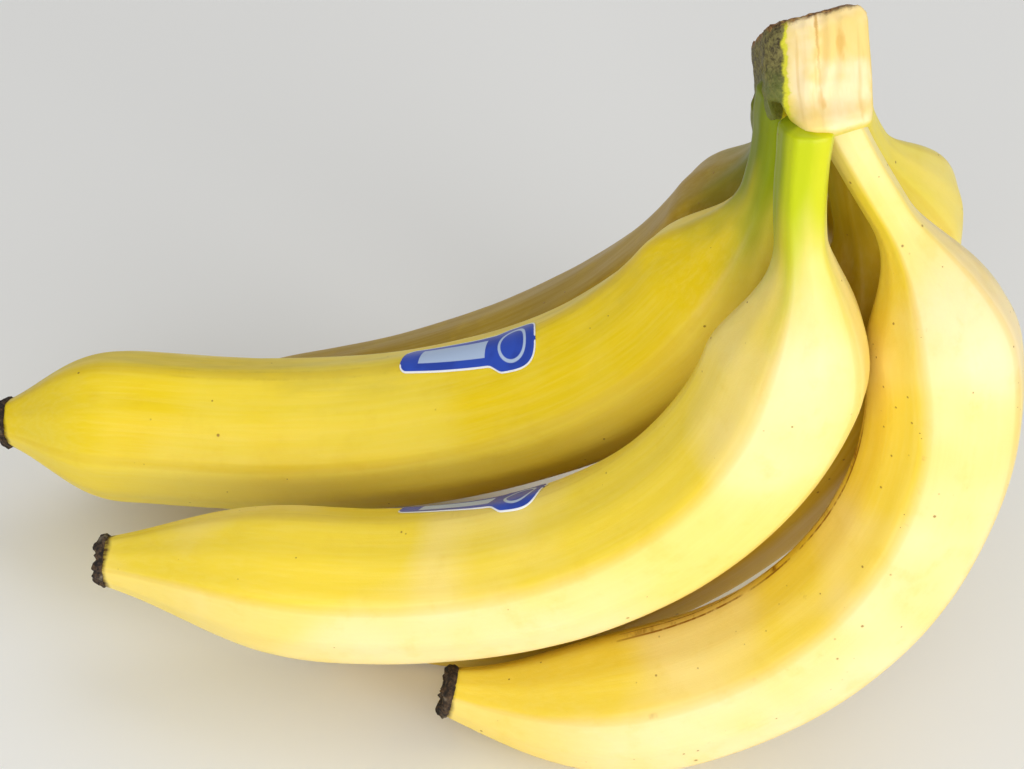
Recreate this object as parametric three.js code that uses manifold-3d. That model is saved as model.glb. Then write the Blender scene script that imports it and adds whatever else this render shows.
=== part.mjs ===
// A bunch of six bananas resting on the undersides of its fingers, with the crown standing at the top.
// Millimetres, +Z up, the tips towards -X, and the origin on the table under the middle of the bunch.
import * as THREE from "three";
import { mergeVertices } from "three/addons/utils/BufferGeometryUtils.js";
import Module from "manifold-3d";

const wasm = await Module();
wasm.setup();

// ---- driving dimensions ----

const touchGap = 0.35; // left between two pieces that touch
const fingerLength = 215; // along an average finger's centreline, without its neck
const fingerThickness = 37.6; // across the middle of an average finger
const neckThickness = 12.4; // across an average neck
const tipThickness = 12.6; // across the blunt end of a finger
const shoulderStart = 0.75; // share of the neck's length after which it starts to swell
const shoulderLength = 38; // over which it swells into its finger
const tipSharpness = 2.2; // how late the narrowing towards the tip sets in
const ridgeHeight = 0.03; // how far the five ridges stand out, as a share of the radius
const tipLength = 50; // the last stretch, over which a finger's tip may straighten
const tableFlat = 0.5; // depth pressed flat where a finger lies on the table

const crown = {
  width: 22.4,
  height: 27.5,
  depth: 65.5,
  shift: [1.6, 0.8, -1.3], // of its block from the point that the roots count from, in its own directions
  lean: 36, // degrees that its top leans back
  tilt: 11, // degrees that its right side is raised
  topSlope: 10, // degrees that its cut top rises to the right
  skinBevel: 6, // bevel of all its corners but the front right one
  underStep: 6, // how much higher its underside is behind the front
  lip: 6, // depth of the front that keeps its full height
  lipFade: 16, // over which the underside rises behind that
  edgeRound: 4,
};

// The crown's outline is drawn in a little towards its cut top and its underside: heights in half heights
// from its middle, sizes as shares of the outline.
const crownLevels = [
  { height: -1, size: 0.88 }, { height: -0.78, size: 0.97 }, { height: -0.2, size: 1 },
  { height: 0.4, size: 1 }, { height: 0.88, size: 0.99 }, { height: 1, size: 0.93 },
];

// The dry remnant on each tip: shares of its length, and its sizes there as shares of the tip.
const blossomLength = 3.2;
const blossomProfile = [
  { share: 0, size: 0.86 }, { share: 0.25, size: 1.06 }, { share: 0.7, size: 1 }, { share: 1, size: 0.9 },
];

// A paper label: a wide round head on a narrower shank.
const label = {
  length: 46,
  headWidth: 14.8,
  shankWidth: 10.5,
  headLength: 17,
  neckLength: 5, // over which the head narrows to the shank
  headPower: 4, // 2 would make the head's end round, and more makes it squarer
  cornerRound: 2.5, // of the shank's end
  thickness: 0.3,
  columns: 19, // of points along it
  rows: 5, // of points across it
};

// Each finger's neck starts at root, measured from the crown's middle, and reaches further up into the
// crown by reach. Its plane hangs straight down and towards -X, then fan tips the plane back and yaw
// swings it level. It leaves the crown at lean, from straight down, and the neck and the body bend by
// neckBend and bend, the body's bend coming early or late by the share in early. The tip turns by tipTurn
// more. Angles are in degrees, and long, plump and neckPlump are shares of the average finger.
const fingers = [
  { name: "banana_1", root: [11.1, -16.3, -4.4], reach: 9, fan: -9.1, yaw: -0.2,
    lean: -36, neck: 27.6, neckBend: -2.5, bend: 136, early: 0.14, tipTurn: 0,
    long: 0.995, plump: 0.97, neckPlump: 0.84, taper: 60 },
  { name: "banana_2", root: [0.5, -30.3, 2.4], reach: 4, fan: -1.9, yaw: 2.8,
    lean: -3.1, neck: 32.4, neckBend: -9.5, bend: 113, early: 0.553, tipTurn: -15.9,
    long: 1.066, plump: 1.018, neckPlump: 0.96, taper: 60 },
  { name: "banana_3", root: [-2.9, -1.7, -9.4], reach: 8, fan: 7.8, yaw: 1.7,
    lean: -4.1, neck: 29.3, neckBend: 11.1, bend: 84.1, early: 0.776, tipTurn: -13.2,
    long: 1.091, plump: 1.057, neckPlump: 1.01, taper: 34 },
  { name: "banana_4", root: [-1, 19.8, -23.8], reach: 8, fan: 23.4, yaw: -14.5,
    lean: -9.3, neck: 16.7, neckBend: 10.2, bend: 100.2, early: 0.23, tipTurn: 0,
    long: 1.087, plump: 1.027, neckPlump: 1.1, taper: 60 },
  { name: "banana_5", root: [12.5, -3.0, -14.4], reach: 10, fan: 2.9, yaw: -11.1,
    lean: -15.9, neck: 27.2, neckBend: -3.6, bend: 110.5, early: 0.43, tipTurn: 0,
    long: 0.953, plump: 1.0, neckPlump: 0.91, taper: 60 },
  { name: "banana_6", root: [13.5, 12.7, -17.3], reach: 8, fan: 30.6, yaw: -5.8,
    lean: -19.4, neck: 23.3, neckBend: -7.4, bend: 100.8, early: -0.1, tipTurn: 0,
    long: 0.894, plump: 0.941, neckPlump: 1.07, taper: 60 },
];

// Each label lies on a finger, its head towards the crown: along is the share of the body's length at its
// middle, around is the angle from the inside of the bend towards the back, and turn skews it.
const labels = [
  { name: "sticker_1", finger: "banana_3", along: 0.421, around: 0, turn: 8 },
  { name: "sticker_2", finger: "banana_2", along: 0.568, around: 19, turn: 8 },
];

const tableSlab = { side: 1000, thickness: 100 }; // cuts the flats, and is no part of the bunch
const ringPoints = 20; // points round a finger, four to each side of the pentagon
const ringStep = 7.5; // between two rings of a finger

// ---- materials ----

function material(color, roughness) {
  return new THREE.MeshStandardMaterial({ color, roughness, metalness: 0 });
}

const skin = material("#e3c92c", 0.5);
const cutCrown = material("#d9cf9a", 0.75);
const dryRemnant = material("#2b211a", 0.95);
const labelPaper = material("#1d3fae", 0.45);

// ---- solids ----

const radians = THREE.MathUtils.degToRad;

// A closed mesh from rings of points, each ring the same number of points, with flat fans on both ends.
function loft(rings) {
  const count = rings[0].length;
  const points = rings.flat();
  const faces = [];
  for (let i = 0; i + 1 < rings.length; i += 1) {
    for (let k = 0; k < count; k += 1) {
      const a = i * count + k;
      const b = i * count + ((k + 1) % count);
      faces.push(a, b, b + count, a, b + count, a + count);
    }
  }
  addFan(points, faces, 0, count, true);
  addFan(points, faces, (rings.length - 1) * count, count, false);
  const geometry = new THREE.BufferGeometry();
  const flat = points.flatMap((p) => p.toArray());
  geometry.setAttribute("position", new THREE.Float32BufferAttribute(flat, 3));
  geometry.setIndex(faces);
  return geometry;
}

function addFan(points, faces, start, count, reversed) {
  const middle = new THREE.Vector3();
  for (let k = 0; k < count; k += 1) middle.add(points[start + k]);
  const centre = points.push(middle.divideScalar(count)) - 1;
  for (let k = 0; k < count; k += 1) {
    const a = start + k;
    const b = start + ((k + 1) % count);
    if (reversed) faces.push(centre, b, a);
    else faces.push(centre, a, b);
  }
}

function toSolid(geometry) {
  const bare = geometry.clone();
  for (const extra of ["normal", "uv"]) bare.deleteAttribute(extra);
  const merged = mergeVertices(bare);
  const solid = new wasm.Manifold(
    new wasm.Mesh({
      numProp: 3,
      vertProperties: new Float32Array(merged.attributes.position.array),
      triVerts: new Uint32Array(merged.index.array),
    }),
  );
  return solid;
}

function toGeometry(solid) {
  const mesh = solid.getMesh();
  const geometry = new THREE.BufferGeometry();
  geometry.setAttribute("position", new THREE.BufferAttribute(new Float32Array(mesh.vertProperties), 3));
  geometry.setIndex(new THREE.BufferAttribute(new Uint32Array(mesh.triVerts), 1));
  geometry.computeVertexNormals();
  return geometry;
}

// ---- fingers ----

function smooth(t) {
  const x = THREE.MathUtils.clamp(t, 0, 1);
  return x * x * (3 - 2 * x);
}

// A finger's centreline as stations, each with its place, its heading, the direction to the inside of the
// bend and the direction across the bend.
function centreline(finger) {
  const body = fingerLength * finger.long;
  const total = finger.neck + body;
  const reach = finger.reach;
  const fan = radians(finger.fan);
  const yaw = radians(finger.yaw);
  const down = new THREE.Vector3(0, Math.sin(fan), -Math.cos(fan));
  const side = new THREE.Vector3(-Math.cos(yaw), Math.sin(yaw), 0);
  side.addScaledVector(down, -side.dot(down)).normalize();
  const heading = (s) => {
    const t = THREE.MathUtils.clamp((s - finger.neck) / body, 0, 1);
    const spread = t + finger.early * t * (1 - t);
    const neckTurn = finger.neckBend * smooth(s / finger.neck);
    const tipTurn = finger.tipTurn * smooth((s - total + tipLength) / tipLength);
    const angle = radians(finger.lean + neckTurn + finger.bend * spread + tipTurn);
    const along = down.clone().multiplyScalar(Math.cos(angle)).addScaledVector(side, Math.sin(angle));
    const inside = down.clone().multiplyScalar(-Math.sin(angle)).addScaledVector(side, Math.cos(angle));
    return { along, inside };
  };
  const steps = Math.round((total + reach) / ringStep);
  const step = (total + reach) / steps;
  const place = new THREE.Vector3(...finger.root).addScaledVector(heading(0).along, -reach);
  const stations = [];
  for (let i = 0; i <= steps; i += 1) {
    const s = i * step - reach;
    const { along, inside } = heading(Math.max(0, s));
    const across = new THREE.Vector3().crossVectors(along, inside);
    stations.push({ s, place: place.clone(), along, inside, across, total });
    place.addScaledVector(heading(Math.max(0, s + step / 2)).along, step);
  }
  return stations;
}

function radiusAt(finger, s, total) {
  const full = (fingerThickness * finger.plump) / 2;
  const neck = (neckThickness * finger.neckPlump) / 2;
  const tip = tipThickness / 2;
  const swell = smooth((s - shoulderStart * finger.neck) / shoulderLength);
  const narrow = THREE.MathUtils.clamp((s - total + finger.taper) / finger.taper, 0, 1);
  return (neck + (full - neck) * swell) * (1 - (1 - tip / full) * narrow ** tipSharpness);
}

// A point of the skin, or off it by offset, at angle from the inside of the bend.
function skinPoint(station, radius, angle, offset = 0) {
  const r = radius * (1 + ridgeHeight * Math.cos(5 * angle)) + offset;
  return station.place
    .clone()
    .addScaledVector(station.inside, r * Math.cos(angle))
    .addScaledVector(station.across, r * Math.sin(angle));
}

function fingerSolid(finger, grow = 0) {
  const rings = centreline(finger).map((station) => {
    const radius = radiusAt(finger, station.s, station.total);
    const ring = [];
    for (let k = 0; k < ringPoints; k += 1) {
      ring.push(skinPoint(station, radius, (2 * Math.PI * k) / ringPoints, grow));
    }
    return ring;
  });
  return toSolid(loft(rings));
}

// ---- crown ----

// The crown's directions: to its right, towards its back and up through its cut top.
function crownAxes() {
  const lean = radians(crown.lean);
  const tilt = radians(crown.tilt);
  const back = new THREE.Vector3(0, Math.cos(lean), -Math.sin(lean));
  const leanUp = new THREE.Vector3(0, Math.sin(lean), Math.cos(lean));
  const level = new THREE.Vector3(1, 0, 0);
  const right = level.clone().multiplyScalar(Math.cos(tilt)).addScaledVector(leanUp, Math.sin(tilt));
  const up = leanUp.multiplyScalar(Math.cos(tilt)).addScaledVector(level, -Math.sin(tilt));
  return { right, back, up };
}

// The crown's outline seen from above, as a rounded polygon with a bevel at three of its corners.
function crownOutline(grow) {
  const x = crown.width / 2 + grow;
  const y = crown.depth / 2 + grow;
  const bevel = crown.skinBevel;
  const corners = [
    [-x + bevel, -y], [x, -y], [x, y - bevel], [x - bevel, y],
    [-x + bevel, y], [-x, y - bevel], [-x, -y + bevel],
  ].map(([a, b]) => new THREE.Vector2(a, b));
  const outline = [];
  corners.forEach((corner, i) => {
    const before = corners.at(i - 1);
    const after = corners[(i + 1) % corners.length];
    for (const end of [before, after]) {
      const cut = Math.min(crown.edgeRound, corner.distanceTo(end) / 3);
      outline.push(corner.clone().lerp(end, cut / corner.distanceTo(end)));
    }
    const arc = corner.clone().multiplyScalar(2).add(outline.at(-1)).add(outline.at(-2)).divideScalar(4);
    outline.splice(-1, 0, arc);
  });
  return outline;
}

function crownSolid(grow = 0) {
  const { right, back, up } = crownAxes();
  const outline = crownOutline(grow);
  const half = crown.height / 2 + grow;
  const slope = Math.tan(radians(crown.topSlope));
  const [shiftRight, shiftBack, shiftUp] = crown.shift;
  const rings = crownLevels.map((level) =>
    outline.map((p) => {
      const behindLip = smooth((p.y + crown.depth / 2 - crown.lip) / crown.lipFade);
      const under = crown.underStep * behindLip * Math.max(0, -level.height);
      const top = p.x * slope * Math.max(0, level.height);
      return new THREE.Vector3()
        .addScaledVector(right, p.x * level.size + shiftRight)
        .addScaledVector(back, p.y * level.size + shiftBack)
        .addScaledVector(up, level.height * half + under + top + shiftUp);
    }),
  );
  return toSolid(loft(rings));
}

// ---- blossom ends and labels ----

function blossomSolid(finger) {
  const end = centreline(finger).at(-1);
  const tip = tipThickness / 2;
  const rings = blossomProfile.map(({ share, size }) => {
    const out = touchGap + share * blossomLength;
    const ring = [];
    for (let k = 0; k < ringPoints; k += 1) {
      const angle = (2 * Math.PI * k) / ringPoints;
      ring.push(skinPoint(end, tip * size, angle).addScaledVector(end.along, out));
    }
    return ring;
  });
  return toSolid(loft(rings));
}

// The label's half width at a distance from the shank's end.
function labelHalfWidth(distance) {
  const { length, headWidth, shankWidth, headLength, neckLength, headPower, cornerRound } = label;
  const wide = smooth((distance - (length - headLength)) / neckLength);
  const half = (shankWidth + (headWidth - shankWidth) * wide) / 2;
  const headRound = headLength - neckLength;
  const intoCorner = Math.max(0, 1 - distance / cornerRound);
  const intoHead = Math.max(0, 1 - (length - distance) / headRound);
  const corner = half - cornerRound * (1 - Math.sqrt(1 - intoCorner ** 2));
  return corner * Math.sqrt(1 - intoHead ** headPower);
}

// The label lies on the skin as rows of points across it, closer together at its two ends.
function labelSolid(entry) {
  const finger = fingers.find((f) => f.name === entry.finger);
  const stations = centreline(finger);
  const middle = finger.neck + fingerLength * finger.long * entry.along;
  const turn = radians(entry.turn);
  const { columns, rows, length } = label;
  const rim = 0.1; // keeps the first and the last row of points open
  const rings = [];
  for (let i = 0; i < columns; i += 1) {
    const share = (1 - Math.cos((Math.PI * i) / (columns - 1))) / 2;
    const distance = rim + (length - 2 * rim) * share;
    const half = labelHalfWidth(distance);
    const points = [];
    for (const offset of [touchGap, touchGap + label.thickness]) {
      const row = [];
      for (let k = 0; k < rows; k += 1) {
        const out = distance - length / 2;
        const wide = half * ((2 * k) / (rows - 1) - 1);
        const s = middle - out * Math.cos(turn) - wide * Math.sin(turn);
        const station = between(stations, s);
        const radius = radiusAt(finger, s, station.total);
        const arc = wide * Math.cos(turn) - out * Math.sin(turn);
        row.push(skinPoint(station, radius, radians(entry.around) + arc / radius, offset));
      }
      points.push(...(offset === touchGap ? row : row.reverse()));
    }
    rings.push(points);
  }
  return toSolid(loft(rings));
}

// A station between two others, at distance s from the crown.
function between(stations, s) {
  const i = Math.max(1, stations.findIndex((station) => station.s >= s));
  const [a, b] = [stations[i - 1], stations[i]];
  const t = (s - a.s) / (b.s - a.s);
  const mixed = { s, total: a.total };
  for (const key of ["place", "along", "inside", "across"]) mixed[key] = a[key].clone().lerp(b[key], t);
  for (const key of ["along", "inside", "across"]) mixed[key].normalize();
  return mixed;
}

// ---- the bunch ----

// The table's surface is a little above the lowest skin, so that each finger lying on it gets a flat.
function tableSolid(height) {
  const { side, thickness } = tableSlab;
  return toSolid(new THREE.BoxGeometry(side, side, thickness).translate(0, 0, height - thickness / 2));
}

function build() {
  const bare = fingers.map((finger) => fingerSolid(finger));
  const lowest = Math.min(...bare.map((solid) => solid.boundingBox().min[2]));
  const tableHeight = lowest + tableFlat;
  const table = tableSolid(tableHeight);
  const grownCrown = crownSolid(touchGap);
  const pieces = [{ name: "crown", solid: crownSolid(), look: cutCrown }];
  fingers.forEach((finger, i) => {
    let solid = bare[i].subtract(grownCrown).subtract(table);
    for (const earlier of fingers.slice(0, i)) solid = solid.subtract(fingerSolid(earlier, touchGap));
    pieces.push({ name: finger.name, solid, look: skin });
  });
  fingers.forEach((finger, i) => {
    let solid = blossomSolid(finger).subtract(table);
    for (const other of fingers) {
      if (other !== finger) solid = solid.subtract(fingerSolid(other, touchGap));
    }
    pieces.push({ name: `blossom_end_${i + 1}`, solid, look: dryRemnant });
  });
  for (const entry of labels) pieces.push({ name: entry.name, solid: labelSolid(entry), look: labelPaper });

  const box = new THREE.Box3();
  const bunch = new THREE.Group();
  for (const { name, solid, look } of pieces) {
    const mesh = new THREE.Mesh(toGeometry(solid), look);
    mesh.name = name;
    bunch.add(mesh);
    box.expandByObject(mesh);
  }
  const middle = box.getCenter(new THREE.Vector3());
  bunch.position.set(-middle.x, -middle.y, -tableHeight);
  const part = new THREE.Group();
  part.add(bunch);
  return part;
}

export default build();
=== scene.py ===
import math

import bmesh
import bpy
import numpy as np
from mathutils import Matrix, Vector
from mathutils.bvhtree import BVHTree


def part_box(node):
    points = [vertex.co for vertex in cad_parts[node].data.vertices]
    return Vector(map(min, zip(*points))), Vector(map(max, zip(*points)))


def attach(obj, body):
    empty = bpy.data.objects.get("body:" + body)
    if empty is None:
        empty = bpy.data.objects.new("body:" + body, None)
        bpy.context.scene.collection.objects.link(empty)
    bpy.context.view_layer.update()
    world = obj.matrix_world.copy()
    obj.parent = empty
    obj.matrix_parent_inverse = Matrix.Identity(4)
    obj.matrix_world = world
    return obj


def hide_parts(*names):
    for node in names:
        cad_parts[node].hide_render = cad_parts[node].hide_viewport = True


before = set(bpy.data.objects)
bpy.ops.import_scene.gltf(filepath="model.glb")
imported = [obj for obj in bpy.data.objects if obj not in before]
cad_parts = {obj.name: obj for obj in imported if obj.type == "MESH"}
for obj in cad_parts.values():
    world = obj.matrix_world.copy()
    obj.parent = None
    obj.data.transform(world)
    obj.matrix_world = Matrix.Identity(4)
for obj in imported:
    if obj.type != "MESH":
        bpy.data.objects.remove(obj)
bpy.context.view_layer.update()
print("frame loaded with", len(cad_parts), "nodes")

# A bunch of six bananas. Lengths are in metres and angles in degrees, unless a note says otherwise.

bunch = {
    "middleFromBox": (-0.001743, -0.000957, -0.002373),  # from the crown's box to where roots count from
    "length": 0.215,
    "thickness": 0.0376,
    "neckThickness": 0.0124,
    "tipThickness": 0.0126,
    "shoulderStart": 0.75,  # share of the neck after which it swells
    "shoulder": 0.038,
    "tipLength": 0.050,     # the last stretch, over which a tip may straighten
    "tipSharpness": 2.2,    # how late the narrowing towards the tip sets in
    "ridge": 0.036,         # height of the five ridges, as a share of the radius
    "sharpness": 0.42,      # how crisp their crests are
    "rings": 250,
    "pointsRound": 96,
    "gap": 0.0002,          # kept between two fingers that press on each other
}

# Each root is in millimetres from the crown's middle. long, plump and neckPlump are shares of the average
# finger, and early is how early in the finger its bend comes.
fingers = {
    "banana_1": {"root": (11.1, -16.3, -4.4), "reach": 0.009, "fan": -9.1, "yaw": -0.2, "lean": -36,
                 "neck": 0.0276, "neckBend": -2.5, "bend": 136, "early": 0.14, "tipTurn": 0,
                 "long": 0.995, "plump": 0.97, "neckPlump": 0.84, "taper": 0.060},
    "banana_2": {"root": (0.5, -30.3, 2.4), "reach": 0.004, "fan": -1.9, "yaw": 2.8, "lean": -3.1,
                 "neck": 0.0324, "neckBend": -9.5, "bend": 113, "early": 0.553, "tipTurn": -15.9,
                 "long": 1.066, "plump": 1.018, "neckPlump": 0.96, "taper": 0.060},
    "banana_3": {"root": (-2.9, -1.7, -9.4), "reach": 0.008, "fan": 7.8, "yaw": 1.7, "lean": -4.1,
                 "neck": 0.0293, "neckBend": 11.1, "bend": 84.1, "early": 0.776, "tipTurn": -13.2,
                 "long": 1.091, "plump": 1.057, "neckPlump": 1.01, "taper": 0.034},
    "banana_4": {"root": (-1.0, 19.8, -23.8), "reach": 0.008, "fan": 23.4, "yaw": -14.5, "lean": -9.3,
                 "neck": 0.0167, "neckBend": 10.2, "bend": 100.2, "early": 0.23, "tipTurn": 0,
                 "long": 1.087, "plump": 1.027, "neckPlump": 1.1, "taper": 0.060},
    "banana_5": {"root": (12.5, -3.0, -14.4), "reach": 0.010, "fan": 2.9, "yaw": -11.1, "lean": -15.9,
                 "neck": 0.0272, "neckBend": -3.6, "bend": 110.5, "early": 0.43, "tipTurn": 0,
                 "long": 0.953, "plump": 1.0, "neckPlump": 0.91, "taper": 0.060},
    "banana_6": {"root": (13.5, 12.7, -17.3), "reach": 0.008, "fan": 30.6, "yaw": -5.8, "lean": -19.4,
                 "neck": 0.0233, "neckBend": -7.4, "bend": 100.8, "early": -0.1, "tipTurn": 0,
                 "long": 0.894, "plump": 0.941, "neckPlump": 1.07, "taper": 0.060},
}

crownLow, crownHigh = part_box("crown")
crownMiddle = (crownLow + crownHigh) / 2 + Vector(bunch["middleFromBox"])


def tint(red, green, blue):  # a colour named by its 0 to 255 display values
    def linear(v):
        v /= 255
        return v / 12.92 if v <= 0.04045 else ((v + 0.055) / 1.055) ** 2.4
    return (linear(red), linear(green), linear(blue), 1.0)


def put(tree, kind, inputs=None, out=0, **settings):
    node = tree.nodes.new(kind)
    for key, value in settings.items():
        setattr(node, key, value)
    for key, value in (inputs or {}).items():
        if isinstance(value, bpy.types.NodeSocket):
            tree.links.new(value, node.inputs[key])
        elif value is not None:
            node.inputs[key].default_value = value
    return node.outputs[out]


def calc(tree, operation, a, b=None, c=None, clamp=False):
    return put(tree, "ShaderNodeMath", {0: a, 1: b, 2: c}, operation=operation, use_clamp=clamp)


def times(tree, a, b):
    return calc(tree, "MULTIPLY", a, b)


def vec(tree, operation, a, b=None, scale=None):
    inputs = {0: a}
    if b is not None:
        inputs[1] = b
    if scale is not None:
        inputs["Scale"] = scale
    return put(tree, "ShaderNodeVectorMath", inputs, operation=operation)


def xyz(tree, x, y, z):
    return put(tree, "ShaderNodeCombineXYZ", {0: x, 1: y, 2: z})


def parts(tree, vector):
    return [put(tree, "ShaderNodeSeparateXYZ", {0: vector}, out=i) for i in range(3)]


def ramp(tree, value, low, high, outLow=0.0, outHigh=1.0):
    inputs = {0: value, 1: low, 2: high, 3: outLow, 4: outHigh}
    return put(tree, "ShaderNodeMapRange", inputs, interpolation_type="SMOOTHSTEP")


def blendColor(tree, factor, a, b):
    settings = {"data_type": "RGBA", "blend_type": "MIX", "clamp_factor": True}
    return put(tree, "ShaderNodeMix", {0: factor, 6: a, 7: b}, out=2, **settings)


def noise(tree, vector, scale, detail=3.0, rough=0.5):
    inputs = {"Vector": vector, "Scale": scale, "Detail": detail, "Roughness": rough}
    return put(tree, "ShaderNodeTexNoise", inputs)


def wobble(tree, value, height):  # noise about nothing, as high as height
    return times(tree, calc(tree, "SUBTRACT", value, 0.5), height)


def named(tree, name, out):  # a stored attribute: out is 1 for its vector and 2 for its single value
    return put(tree, "ShaderNodeAttribute", out=out, attribute_name=name)


def newGroup(name, kind, inputs, outputs):
    tree = bpy.data.node_groups.new(name, kind)
    for label, socket, value in inputs:
        made = tree.interface.new_socket(name=label, in_out="INPUT", socket_type=socket)
        if value is not None:
            made.default_value = value
    for label, socket in outputs:
        tree.interface.new_socket(name=label, in_out="OUTPUT", socket_type=socket)
    return tree, tree.nodes.new("NodeGroupInput"), tree.nodes.new("NodeGroupOutput")


def newMaterial(name):
    material = bpy.data.materials.new(name)
    material.use_nodes = True
    tree = material.node_tree
    return material, tree, tree.nodes["Principled BSDF"]


def addBump(tree, shader, height, strength, distance):
    bump = put(tree, "ShaderNodeBump", {"Strength": strength, "Distance": distance, "Height": height})
    tree.links.new(bump, shader.inputs["Normal"])


def addSubsurface(shader, weight, radius, scale):
    shader.inputs["Subsurface Weight"].default_value = weight
    shader.inputs["Subsurface Radius"].default_value = radius
    shader.inputs["Subsurface Scale"].default_value = scale


def newObject(name, mesh):
    item = bpy.data.objects.new(name, mesh)
    bpy.context.scene.collection.objects.link(item)
    return item


def smooth(t):
    t = np.clip(t, 0, 1)
    return t * t * (3 - 2 * t)


# The path of a finger: a curve in one plane, with the directions and the radius at every station.
neckFlare = {"height": 0.05, "from": -0.002, "length": 0.004}  # a little wider where it leaves the crown
tipClose = {"early": 0.55, "late": 0.45, "latePower": 3.2}  # two ways of narrowing, mixed
# each ring of a cap: its share of the girth, and how far out it lies
endCap = ((0.97, 0.00025), (0.85, 0.0006), (0.6, 0.0009), (0.3, 0.001), (0.0, 0.001))


def fingerPath(finger):
    body = bunch["length"] * finger["long"]
    total = finger["neck"] + body
    fan, yaw = math.radians(finger["fan"]), math.radians(finger["yaw"])
    down = np.array([0, math.sin(fan), -math.cos(fan)])
    side = np.array([-math.cos(yaw), math.sin(yaw), 0])
    side = side - down * (side @ down)
    side /= np.linalg.norm(side)
    run = np.linspace(-finger["reach"], total, bunch["rings"])

    def heading(s):
        s = np.maximum(s, 0)
        t = np.clip((s - finger["neck"]) / body, 0, 1)
        spread = t + finger["early"] * t * (1 - t)
        neckTurn = finger["neckBend"] * smooth(s / finger["neck"])
        tipTurn = finger["tipTurn"] * smooth((s - total + bunch["tipLength"]) / bunch["tipLength"])
        angle = np.radians(finger["lean"] + neckTurn + finger["bend"] * spread + tipTurn)
        cos, sin = np.cos(angle)[:, None], np.sin(angle)[:, None]
        return cos * down + sin * side, cos * side - sin * down

    step = run[1] - run[0]
    along, inside = heading(run)
    between, _ = heading(run[:-1] + step / 2)
    root = np.array(crownMiddle) + np.array(finger["root"]) / 1000
    start = root - along[0] * finger["reach"]
    place = start + np.vstack([np.zeros(3), np.cumsum(between, axis=0) * step])
    path = {"place": place, "along": along, "inside": inside, "across": np.cross(along, inside)}
    return {**path, "girth": fingerGirth(finger, run, total), "run": run, "total": total}


def fingerGirth(finger, run, total):
    full = bunch["thickness"] * finger["plump"] / 2
    neck = bunch["neckThickness"] * finger["neckPlump"] / 2
    tip = bunch["tipThickness"] / 2
    swell = smooth((run - bunch["shoulderStart"] * finger["neck"]) / bunch["shoulder"])
    narrow = np.clip((run - total + finger["taper"]) / finger["taper"], 0, 1)
    close = tipClose["early"] * narrow ** bunch["tipSharpness"]
    close += tipClose["late"] * np.sin(narrow * math.pi / 2) ** tipClose["latePower"]
    girth = (neck + (full - neck) * swell) * (1 - (1 - tip / full) * close)
    fromRoot = (run - neckFlare["from"]) / neckFlare["length"]
    return girth * (1 + neckFlare["height"] * np.exp(-fromRoot ** 2))


def closeEnds(path):
    # adds shrinking rings at both ends, so that the sweep ends in a rounded cap with a single last point
    closed = {key: path[key] for key in ("place", "inside", "across", "girth", "run")}
    for shrink, out in endCap:
        for end, sign in ((0, -1), (-1, 1)):
            at = 0 if end == 0 else len(closed["run"])
            values = {"place": path["place"][end] + sign * out * path["along"][end],
                      "inside": path["inside"][end], "across": path["across"][end],
                      "girth": path["girth"][end] * shrink, "run": path["run"][end] + sign * out}
            for key, value in values.items():
                closed[key] = np.insert(closed[key], at, value, axis=0)
    return closed


paths = {name: fingerPath(finger) for name, finger in fingers.items()}

# The sweep: a grid laid round the path, with five ridges that wander and a skin that is a little lumpy.
sweep = {
    "lumpHeight": 0.0009,
    "lumpScale": 26.0,
    "lumpGirths": (0.003, 0.012),  # the radii between which lumps grow to their height
    "wanderScale": (8.0, 8.0, 14.0),
    "wander": 0.35,                # in radians
    "seedStep": 0.37,
    "mergeDistance": 0.000004,
}


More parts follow.
